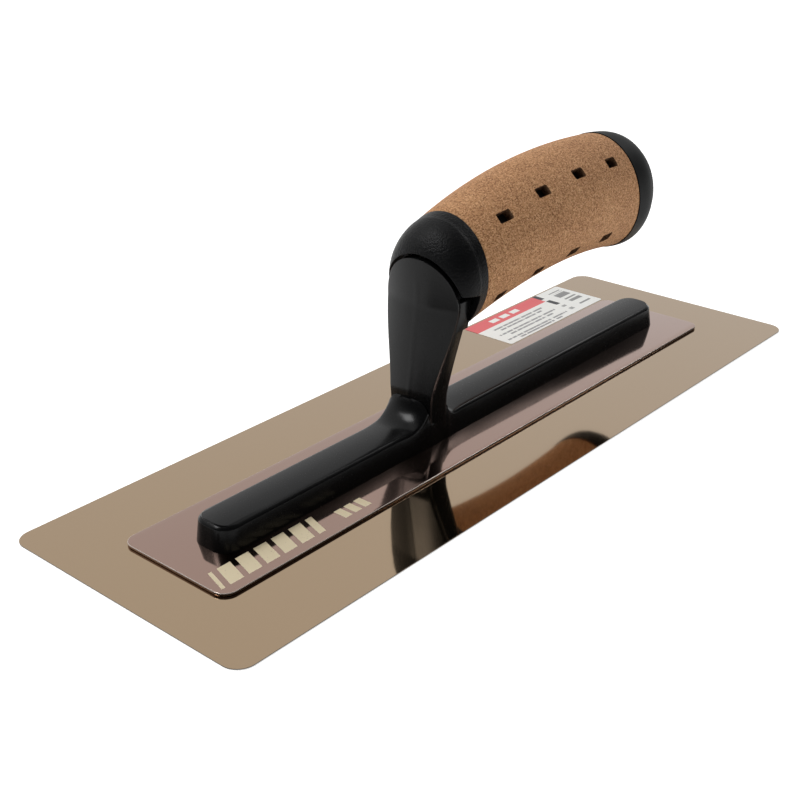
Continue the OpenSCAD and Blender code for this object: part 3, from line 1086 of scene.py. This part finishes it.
# colour, worn colour and roughness
metalFinish = {
    "brass": ((0.62, 0.43, 0.16), (0.48, 0.31, 0.11), 0.3),
    "zinc": ((0.60, 0.61, 0.62), (0.44, 0.45, 0.47), 0.32),
}


def paintMetal(name, colour, worn, roughness):
    paint = Paint(name)
    cloud = paint.noise(240, 4, 0.6)
    turned = paint.noise(1800, 2, 0.5, paint.stretched(0.3, 0.3, 2.5))
    return paint.finish({
        "Base Color": paint.blend(cloud, colour, worn),
        "Metallic": 1.0,
        "Roughness": roughness + (cloud - 0.5) * 0.15,
        "Normal": paint.bumps(turned, 0.00003, 0.4),
    })


tapeFinish = {"colour": (0.52, 0.51, 0.47), "light": (0.70, 0.69, 0.65), "roughness": 0.55}


def paintTape():
    paint = Paint("bondingTape")
    fibre = paint.noise(900, 3, 0.6, paint.stretched(0.3, 1, 1))
    return paint.finish({
        "Base Color": paint.blend(fibre, tapeFinish["colour"], tapeFinish["light"]),
        "Roughness": tapeFinish["roughness"] + fibre * 0.2,
        "Normal": paint.bumps(fibre, 0.00004, 0.4),
    })


labelInk = {
    "red": (0.74, 0.120, 0.130),
    "black": (0.022, 0.024, 0.030),
    "stripe": (0.05, 0.05, 0.055),
    "grey": (0.20, 0.20, 0.21),
    "paper": (0.86, 0.86, 0.83),
    "dullPaper": (0.78, 0.78, 0.75),
    "roughness": 0.42,
}
# places on the label as ((x from, x to), (y from, y to)), in mm
labelPrint = {
    "band": ((60, 113.6), (42.4, 60)),
    "pips": (((79, 84), (44.6, 47.4)), ((86, 91), (44.6, 47.4)), ((93, 98), (44.6, 47.4))),
    "patches": (((113.6, 116.2), (44.8, 60)), ((113.6, 116.2), (36.4, 42.2))),
    "palePatches": (((113.4, 116.0), (32.6, 34.2)), ((113.4, 116.0), (28.4, 30.4))),
    "heading": ((72.9, 106.4), (38.9, 40.0)),
    "rows": ((37.4, 14.3), (34.1, 19.3), (32.0, 15.0), (28.8, 20.7), (27.0, 15.0)),
    "rowMiddle": 89.3,
    "rowHalf": 0.55,
    "block": ((121.4, 129.3), (28.4, 46.6)),
}


def paintLabel():
    paint = Paint("labelPaper")
    x, y, _ = paint.axes()

    def patch(spanX, spanY):
        return paint.slab(x, *spanX) * paint.slab(y, *spanY)

    fibre = paint.noise(1600, 3, 0.6)
    paper = paint.blend(fibre * 0.5, labelInk["paper"], labelInk["dullPaper"])
    pips = sum(patch(*place) for place in labelPrint["pips"])
    colour = paint.blend(patch(*labelPrint["band"]) * (1 - pips), paper, labelInk["red"])
    dark = sum(patch(*place) for place in labelPrint["patches"])
    dark = dark + sum(patch(*place) for place in labelPrint["palePatches"]) * 0.6
    colour = paint.blend(dark, colour, labelInk["black"])
    words = paint.fade(paint.noise(900, 1, 0.5, paint.stretched(1, 0.02, 1)), 0.37, 0.45)
    lines = patch(*labelPrint["heading"])
    centre = labelPrint["rowMiddle"]
    thick = labelPrint["rowHalf"]
    for middle, half in labelPrint["rows"]:
        lines = lines + patch((centre - half, centre + half), (middle - thick, middle + thick))
    colour = paint.blend(lines * words * 0.85, colour, labelInk["grey"])
    bars = paint.fade(paint.noise(900, 0, 0.5, paint.stretched(0.02, 1, 1)), 0.46, 0.54)
    colour = paint.blend(patch(*labelPrint["block"]) * bars * 0.75, colour, labelInk["stripe"])
    return paint.finish({
        "Base Color": colour,
        "Roughness": labelInk["roughness"] + fibre * 0.12,
        "Normal": paint.bumps(fibre, 0.00003, 0.3),
    })


# build

print("plate")
makeBackingPlate()
print("handle mount")
makeHandleMount()
print("cork")
makeCorkSleeve()
print("collar")
makeFrontCollar()
print("cap")
makeEndCap()

print("materials")
brass = paintMetal("brass", *metalFinish["brass"])
zinc = paintMetal("zincSteel", *metalFinish["zinc"])
finishes = {
    "blade": paintBladeSteel(),
    "bond_tape": paintTape(),
    "backingPlate": paintPlateSteel(),
    "plate_screws": zinc,
    "beam_inserts": brass,
    "handleMount": paintBlackMoulding(),
    "frontCollar": paintCollarTrim(),
    "grip_core": paintGripCore(),
    "corkSleeve": paintCork(),
    "tang_insert": brass,
    "grip_screw": zinc,
    "screw_washer": zinc,
    "endCap": paintCapTrim(),
    "blade_label": paintLabel(),
}
for name, material in finishes.items():
    dress(name, material)


# studio

studio = {
    "floorSize": 9.0,
    "floorDrop": 0.0002,
    "floorColour": (0.85, 0.85, 0.85),
    "floorShade": (0.82, 0.82, 0.82),
    "floorGlow": 0.62,
    "farWall": (0.48, 0.83, 0.27),
    "farWallLight": 0.90,
    "nearWallLight": 0.08,
    "wallBlend": (0.05, 0.75),
    "aim": (0, 0, 0.03),
    # direction, distance, size and power of each softbox
    "leftSoftbox": ((-0.47, 0.38, 0.79), 1.1, 0.40, 5.8),
    "overheadSoftbox": ((-0.12, 0.02, 0.99), 1.6, 0.8, 1.4),
    "nearSoftbox": ((0.72, -0.17, 0.64), 1.3, 0.42, 3.0),
}


def makeFloor():
    deselectAll()
    bpy.ops.mesh.primitive_plane_add(size=studio["floorSize"], location=(0, 0, -studio["floorDrop"]))
    floor = nameActive("studioFloor")
    paint = Paint("floorPaper")
    soft = paint.noise(2, 2, 0.5)
    floor.data.materials.append(paint.finish({
        "Base Color": paint.blend(soft * 0.3, studio["floorColour"], studio["floorShade"]),
        "Roughness": 0.9,
        "Specular IOR Level": 0.1,
        "Emission Color": (1.0, 1.0, 1.0),
        "Emission Strength": studio["floorGlow"],
    }))


def makeLight(name, towards, distance, size, power):
    data = bpy.data.lights.new(name, "AREA")
    data.shape = "SQUARE"
    data.size = size
    data.energy = power
    light = bpy.data.objects.new(name, data)
    bpy.context.scene.collection.objects.link(light)
    aim = Vector(studio["aim"])
    way = Vector(towards).normalized()
    light.location = aim + way * distance
    light.rotation_euler = way.to_track_quat("Z", "Y").to_euler()


def makeWorld():
    world = bpy.data.worlds.new("studioWorld")
    world.use_nodes = True
    nodes = world.node_tree.nodes
    links = world.node_tree.links
    place = nodes.new("ShaderNodeTexCoord")
    facing = nodes.new("ShaderNodeVectorMath")
    facing.operation = "DOT_PRODUCT"
    facing.inputs[1].default_value = studio["farWall"]
    wash = nodes.new("ShaderNodeMapRange")
    wash.interpolation_type = "SMOOTHSTEP"
    wash.inputs["From Min"].default_value = studio["wallBlend"][0]
    wash.inputs["From Max"].default_value = studio["wallBlend"][1]
    wash.inputs["To Min"].default_value = studio["nearWallLight"]
    wash.inputs["To Max"].default_value = studio["farWallLight"]
    nodes["Background"].inputs["Color"].default_value = (1, 1, 1, 1)
    links.new(place.outputs["Generated"], facing.inputs[0])
    links.new(facing.outputs["Value"], wash.inputs["Value"])
    links.new(wash.outputs[0], nodes["Background"].inputs["Strength"])
    bpy.context.scene.world = world


print("studio")
makeFloor()
makeWorld()
for softbox in ("leftSoftbox", "overheadSoftbox", "nearSoftbox"):
    makeLight(softbox, *studio[softbox])
bpy.context.scene.view_settings.view_transform = "Standard"

print("camera")
cameraView = {
    "place": (-0.32741, -0.26204, 0.20739),
    "turn": (64.475, 0.516, -48.75),
    "lens": 58.52,
    "sensor": 36,
    "clip": (0.01, 50),
}
camera = bpy.data.cameras.new("productCamera")
camera.lens = cameraView["lens"]
camera.sensor_width = cameraView["sensor"]
camera.clip_start, camera.clip_end = cameraView["clip"]
cameraObject = bpy.data.objects.new("productCamera", camera)
bpy.context.scene.collection.objects.link(cameraObject)
cameraObject.location = cameraView["place"]
cameraObject.rotation_euler = [math.radians(angle) for angle in cameraView["turn"]]
bpy.context.scene.camera = cameraObject
